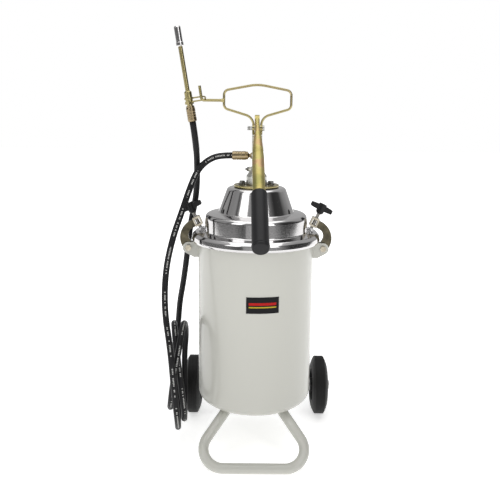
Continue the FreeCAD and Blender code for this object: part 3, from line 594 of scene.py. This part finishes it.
def makeScrew(side, sign, s):
    # a rod whose radius follows a sine in (height / pitch - turn), which winds into a thread
    lean = math.radians(s["lean"])
    axis = (sign * math.sin(lean), 0, math.cos(lean))
    base = at(sign * s["footX"], 0, s["footZ"])
    rows = np.arange(s["from"] + s["firstRow"], s["to"] - s["chamfer"], s["rowStep"])
    body = np.stack([0 * rows + s["radius"], rows], -1)
    small = s["radius"] - s["chamfer"]
    profile = np.vstack([[(0, s["from"]), (small, s["from"])], body, [(small, s["to"]), (0, s["to"])]])

    def thread(h, a, r):
        return np.where(r > s["radius"] - 0.1, s["deep"] * np.sin(2 * math.pi * h / s["pitch"] - a), 0.0)

    screw = turnedPiece("threadedScrew" + side.title(), profile, base, axis, threadSteel, "screw_" + side,
                        40, thread)
    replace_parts(screw, "clamp_screw_" + side)


for side, sign in (("right", 1), ("left", -1)):
    makeScrew(side, sign, screwSet)

print("stage: hose")
hoseSet = {
    "diameter": 0.0134, "around": 24, "fineness": 12, "printAngle": -0.15,
    # the print's dashes: length of a cell and of a group of cells, and the printed share of each
    "cell": 0.0031, "cellShare": 0.62, "group": 0.085, "groupShare": 0.72, "emptyShare": 0.24,
    # half the row's height as a share of the way round, and how much it varies from dash to dash
    "rowHalf": 0.026, "rowSpread": 0.012,
    "route": [
        (-52, 0, 648), (-79, 0, 648), (-103, -4, 638.5), (-124, -12, 619), (-140, -23, 582),
        (-155, -36, 536), (-175, -47, 480), (-190, -62, 410), (-191, -82, 330),
        (-176, -109, 250), (-168, -125, 166), (-161, -118, 85), (-170, -42, 42),
        (-175, 34, 70), (-175, 46, 142), (-184, 56, 237), (-180, -8, 287), (-168, -77, 246),
        (-159, -82, 170), (-151, -84, 99), (-156, -38, 56), (-160, 20, 62), (-162, 56, 108),
        (-164, 60, 172), (-157, 50, 242), (-156, -22, 291), (-160, -97, 250),
        (-172, -100, 182), (-181, -90, 116), (-188, -22, 82), (-189, 46, 112), (-190, 72, 180),
        (-180, 86, 240), (-175, 78, 300), (-164, 60, 354), (-154, 48, 420), (-146, 38, 488),
        (-131, 35, 556), (-127, 14, 617), (-126.7, -20, 674), (-133.8, -20, 718.5),
    ],
}


def splineLine(name, points, fineness):
    # an order-three NURBS line through both end points, read back as a polyline in metres
    curve = bpy.data.curves.new(name, "CURVE")
    curve.dimensions = "3D"
    spline = curve.splines.new("NURBS")
    spline.points.add(len(points) - 1)
    spline.points.foreach_set("co", np.hstack([points, np.ones((len(points), 1))]).astype(np.float32).ravel())
    spline.order_u = 3
    spline.use_endpoint_u = True
    spline.resolution_u = fineness
    holder = bpy.data.objects.new(name, curve)
    scene.collection.objects.link(holder)
    mesh = bpy.data.meshes.new_from_object(holder.evaluated_get(bpy.context.evaluated_depsgraph_get()))
    line = np.empty(len(mesh.vertices) * 3, dtype=np.float32)
    mesh.vertices.foreach_get("co", line)
    bpy.data.objects.remove(holder)
    return line.reshape(-1, 3).astype(float)


def printedRubber(name, s):
    # black cover with fine cloth marks, and a row of pale dashes along one side of the hose
    mat, tree, shader = startMaterial(name, Specular_IOR_Level=0.22)
    cloud = grain(tree, 20.0, 4.0)
    tint = ramp(tree, cloud.outputs["Fac"], [(0.35, (0.005, 0.005, 0.006)), (0.75, (0.010, 0.010, 0.011))])
    uvNode = addNode(tree, "ShaderNodeUVMap", uv_map="alongPiece")
    split = addNode(tree, "ShaderNodeSeparateXYZ")
    tree.links.new(uvNode.outputs["UV"], split.inputs["Vector"])

    def calc(operation, a, b=None, c=None):
        node = addNode(tree, "ShaderNodeMath", operation=operation)
        for socket, value in zip(node.inputs, (a, b, c)):
            if isinstance(value, (int, float)):
                socket.default_value = value
            elif value is not None:
                tree.links.new(value, socket)
        return node.outputs["Value"]

    along, share = split.outputs["X"], split.outputs["Y"]
    # one dash to a cell, of a height drawn for that cell; some cells stay empty, and groups leave a gap
    cell = calc("DIVIDE", along, s["cell"])
    dash = calc("LESS_THAN", calc("FRACT", cell), s["cellShare"])
    pick = addNode(tree, "ShaderNodeTexWhiteNoise", noise_dimensions="1D")
    tree.links.new(calc("FLOOR", cell), pick.inputs["W"])
    chosen = calc("GREATER_THAN", pick.outputs["Value"], s["emptyShare"])
    group = calc("LESS_THAN", calc("FRACT", calc("DIVIDE", along, s["group"])), s["groupShare"])
    offset = calc("ABSOLUTE", calc("SUBTRACT", share, 0.5))
    height = calc("MULTIPLY_ADD", pick.outputs["Value"], s["rowSpread"], s["rowHalf"])
    row = calc("LESS_THAN", offset, height)
    mark = calc("MULTIPLY", calc("MULTIPLY", dash, chosen), calc("MULTIPLY", group, row))
    worn = grain(tree, 900.0, 2.0)
    mark = calc("MULTIPLY", mark, spread(tree, worn.outputs["Fac"], 0.45, 1.0))
    mix = addNode(tree, "ShaderNodeMix", data_type="RGBA")
    tree.links.new(mark, mix.inputs["Factor"])
    tree.links.new(tint.outputs["Color"], mix.inputs["A"])
    mix.inputs["B"].default_value = (0.62, 0.62, 0.60, 1)
    tree.links.new(mix.outputs["Result"], shader.inputs["Base Color"])
    weave = addNode(tree, "ShaderNodeTexWave", wave_type="BANDS", bands_direction="DIAGONAL")
    cloth = addNode(tree, "ShaderNodeMapping")
    cloth.inputs["Scale"].default_value = (900.0, 28.0, 1.0)
    tree.links.new(uvNode.outputs["UV"], cloth.inputs["Vector"])
    tree.links.new(cloth.outputs["Vector"], weave.inputs["Vector"])
    weave.inputs["Scale"].default_value = 1.0
    tree.links.new(spread(tree, worn.outputs["Fac"], 0.38, 0.52), shader.inputs["Roughness"])
    bump(tree, shader, weave.outputs["Fac"], 0.25, 0.0002)
    return mat


def makeHose(s):
    # at every station of the spline, a ring: line + half the diameter times (side cos a + other sin a)
    route = np.array(s["route"]) / 1000.0 + (drumX, drumY, 0)
    line = splineLine("hoseLine", route, s["fineness"])
    ahead, side, other = carriedFrames(line)
    run = np.concatenate([[0], np.cumsum(np.linalg.norm(np.diff(line, axis=0), axis=1))])
    a = np.linspace(0, 2 * math.pi, s["around"], endpoint=False)
    wheel = np.cos(a)[None, :, None] * side[:, None] + np.sin(a)[None, :, None] * other[:, None]
    points = (line[:, None] + s["diameter"] / 2 * wheel).reshape(-1, 3)
    faces = [gridFaces(len(line), s["around"], False, True)[:, ::-1]]
    faces += endFans(s["around"], len(line), len(points), len(points) + 1)
    points = np.vstack([points, line[[0, -1]]])
    station = np.concatenate([np.repeat(run, s["around"]), run[[0, -1]]])
    turn = np.concatenate([np.tile(a, len(run)), [0, 0]]) + s["printAngle"]
    uv = np.stack([station, (turn / (2 * math.pi)) % 1.0], -1)

    def cornerUv(corners):
        # a face that crosses the seam keeps its corners on one side of it
        flat = uv[corners].copy()
        quads = flat[:len(faces[0]) * 4].reshape(-1, 4, 2)
        wide = np.ptp(quads[..., 1], axis=1) > 0.5
        quads[..., 1] = np.where(wide[:, None] & (quads[..., 1] < 0.5), quads[..., 1] + 1, quads[..., 1])
        return flat

    hose = meshFrom("hoseCover", points, faces, printedRubber("hoseRubber", s), "frame",
                    uv=cornerUv)
    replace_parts(hose, "hose")
    print("hose length", round(float(run[-1]), 3))


makeHose(hoseSet)

print("stage: floor")
floorSet = {"half": 9.0, "nearGlow": 0.56, "farGlow": 1.0, "nearEdge": 0.25, "farEdge": 1.5}


def makeFloor(s):
    # a flat sheet that glows more the further it lies from the machine, so that no line shows where it ends
    mat, tree, shader = startMaterial("paleFloor", Base_Color=(0.90, 0.90, 0.90), Roughness=0.7)
    place = addNode(tree, "ShaderNodeTexCoord")
    reach = addNode(tree, "ShaderNodeVectorMath", operation="LENGTH")
    tree.links.new(place.outputs["Object"], reach.inputs[0])
    glow = addNode(tree, "ShaderNodeMapRange")
    glow.interpolation_type = "SMOOTHSTEP"
    for key, value in (("From Min", s["nearEdge"]), ("From Max", s["farEdge"]), ("To Min", s["nearGlow"]),
                       ("To Max", s["farGlow"])):
        glow.inputs[key].default_value = value
    tree.links.new(reach.outputs["Value"], glow.inputs["Value"])
    tree.links.new(glow.outputs["Result"], shader.inputs["Emission Strength"])
    shader.inputs["Emission Color"].default_value = (1, 1, 1, 1)
    half = s["half"]
    mesh = bpy.data.meshes.new("floor")
    corners = [(-half, -half, 0), (half, -half, 0), (half, half, 0), (-half, half, 0)]
    mesh.from_pydata(corners, [], [(0, 1, 2, 3)])
    mesh.materials.append(mat)
    floor = bpy.data.objects.new("floor", mesh)
    scene.collection.objects.link(floor)


makeFloor(floorSet)
